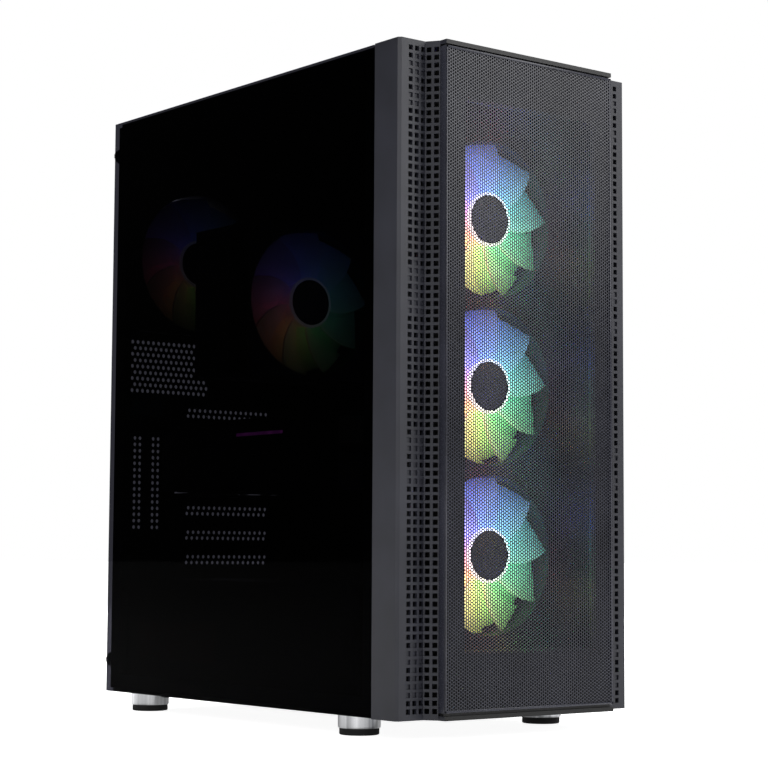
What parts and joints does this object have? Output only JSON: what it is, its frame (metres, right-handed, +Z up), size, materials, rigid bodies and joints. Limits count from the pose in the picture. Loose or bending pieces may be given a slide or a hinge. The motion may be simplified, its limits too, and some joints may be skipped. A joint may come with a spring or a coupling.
{
  "type": "desktop computer tower",
  "caption": "Upright black desktop computer with a fine mesh front between slotted side strips, a tinted glass side and lit fans behind the mesh.",
  "frame": {"origin": "on the floor under the middle of the box that the tower fills", "axes": "+Z up, front faces -Y, glass side on -X"},
  "size_m": [0.216, 0.395, 0.477],
  "materials": {
    "black_plastic": "fine textured ABS",
    "black_steel": "satin black powder coat",
    "mesh_steel": "satin black powder coat on punched steel",
    "tinted_glass": "polished, dark tint",
    "chrome_ring": "polished",
    "black_rubber": "matte",
    "fan_plastic": "moulded",
    "lit_blades": "translucent, lit from the hub",
    "board_laminate": "solder mask",
    "fin_metal": "bare",
    "black_metal": "anodised black",
    "pipe_metal": "nickel plated copper",
    "zinc_steel": "zinc plated",
    "brass_post": "turned",
    "cable_sleeve": "braided",
    "drive_case": "cast",
    "filter_mesh": "fine nylon net in a frame"
  },
  "bodies": {
    "case": {"chassis_base": "black_steel", "chassis_top": "black_steel", "chassis_rear": "black_steel", "chassis_front": "black_steel", "motherboard_tray": "black_steel", "psu_shroud": "black_steel", "drive_cage": "black_steel", "hard_drive": "drive_case", "solid_state_drive": "black_metal", "foot_rings": "chrome_ring", "foot_pads": "black_rubber", "control_block": "black_plastic", "motherboard": "board_laminate", "standoffs": "brass_post", "board_sockets": "black_plastic", "ram_modules": "black_metal", "vrm_heatsinks": "black_metal", "rear_socket_block": "zinc_steel", "grommets": "black_rubber", "cooler_base": "fin_metal", "cooler_heatpipes": "pipe_metal", "cooler_fins": "fin_metal", "gpu_board": "board_laminate", "gpu_backplate": "black_metal", "gpu_shroud": "black_plastic", "gpu_heatsink": "fin_metal", "gpu_bracket": "zinc_steel", "psu_case": "black_steel", "psu_inlet": "black_plastic", "psu_guard": "zinc_steel", "slot_covers": "black_steel", "upright_slot_covers": "black_steel", "slot_clamp": "zinc_steel", "board_cable": "cable_sleeve", "card_cable": "cable_sleeve", "rear_fan_frame": "fan_plastic", "cooler_fan_frame": "fan_plastic", "front_fan_1_frame": "fan_plastic", "front_fan_2_frame": "fan_plastic", "front_fan_3_frame": "fan_plastic"},
    "glass_panel": {"glass_pane": "tinted_glass", "glass_frame": "black_steel"},
    "glass_screws": {"glass_thumbscrews": "black_metal"},
    "right_panel": {"right_side_panel": "black_steel"},
    "right_screws": {"right_thumbscrews": "black_metal"},
    "front_panel": {"front_bezel": "black_plastic", "front_mesh": "mesh_steel"},
    "top_filter": {"top_dust_filter": "filter_mesh"},
    "psu_filter": {"psu_dust_filter": "filter_mesh"},
    "power_key": {"power_button": "black_plastic"},
    "light_key": {"light_button": "black_plastic"},
    "psu_switch": {"psu_rocker": "black_plastic"},
    "psu_fan": {"psu_rotor": "fan_plastic"},
    "gpu_fan_1": {"gpu_rotor_1": "fan_plastic"},
    "gpu_fan_2": {"gpu_rotor_2": "fan_plastic"},
    "rear_fan": {"rear_fan_rotor": "lit_blades"},
    "cooler_fan": {"cooler_fan_rotor": "lit_blades"},
    "front_fan_1": {"front_fan_1_rotor": "lit_blades"},
    "front_fan_2": {"front_fan_2_rotor": "lit_blades"},
    "front_fan_3": {"front_fan_3_rotor": "lit_blades"}
  },
  "joints": [
    {"name": "front_fan_1_spin", "type": "hinge", "parent": "case", "child": "front_fan_1", "pos_m": [0, -0.141, 0.1245], "axis": [0, 1, 0], "continuous": true},
    {"name": "front_fan_2_spin", "type": "hinge", "parent": "case", "child": "front_fan_2", "pos_m": [0, -0.141, 0.24525], "axis": [0, 1, 0], "continuous": true},
    {"name": "front_fan_3_spin", "type": "hinge", "parent": "case", "child": "front_fan_3", "pos_m": [0, -0.141, 0.366], "axis": [0, 1, 0], "continuous": true},
    {"name": "rear_fan_spin", "type": "hinge", "parent": "case", "child": "rear_fan", "pos_m": [-0.0405, 0.1747, 0.364], "axis": [0, 1, 0], "continuous": true},
    {"name": "cooler_fan_spin", "type": "hinge", "parent": "case", "child": "cooler_fan", "pos_m": [-0.028, 0.0372, 0.3201], "axis": [0, 1, 0], "continuous": true},
    {"name": "gpu_fan_1_spin", "type": "hinge", "parent": "case", "child": "gpu_fan_1", "pos_m": [0.0005, 0.0132, 0.1778], "axis": [0, 0, 1], "continuous": true},
    {"name": "gpu_fan_2_spin", "type": "hinge", "parent": "case", "child": "gpu_fan_2", "pos_m": [0.0005, 0.1172, 0.1778], "axis": [0, 0, 1], "continuous": true},
    {"name": "psu_fan_spin", "type": "hinge", "parent": "case", "child": "psu_fan", "pos_m": [-0.015, 0.1172, 0.025], "axis": [0, 0, 1], "continuous": true},
    {"name": "power_key_press", "type": "slide", "parent": "case", "child": "power_key", "axis": [0, 0, -1], "range_m": [0, 0.0012], "stiffness_N_per_m": 900, "springref_m": -0.0006},
    {"name": "light_key_press", "type": "slide", "parent": "case", "child": "light_key", "axis": [0, 0, -1], "range_m": [0, 0.0012], "stiffness_N_per_m": 900, "springref_m": -0.0006},
    {"name": "psu_switch_rock", "type": "hinge", "parent": "case", "child": "psu_switch", "pos_m": [0.034, 0.1837, 0.077], "axis": [1, 0, 0], "range_deg": [-8, 8]},
    {"name": "glass_panel_off", "type": "slide", "parent": "case", "child": "glass_panel", "axis": [-1, 0, 0], "range_m": [0, 0.15]},
    {"name": "glass_screws_out", "type": "slide", "parent": "glass_panel", "child": "glass_screws", "axis": [0, 1, 0], "range_m": [0, 0.005]},
    {"name": "right_panel_off", "type": "slide", "parent": "case", "child": "right_panel", "axis": [0, 1, 0], "range_m": [0, 0.2]},
    {"name": "right_screws_out", "type": "slide", "parent": "right_panel", "child": "right_screws", "axis": [0, 1, 0], "range_m": [0, 0.005]},
    {"name": "front_panel_off", "type": "slide", "parent": "case", "child": "front_panel", "axis": [0, -1, 0], "range_m": [0, 0.1]},
    {"name": "top_filter_off", "type": "slide", "parent": "case", "child": "top_filter", "axis": [0, 0, 1], "range_m": [0, 0.03]},
    {"name": "psu_filter_out", "type": "slide", "parent": "case", "child": "psu_filter", "axis": [0, 1, 0], "range_m": [0, 0.18]}
  ]
}
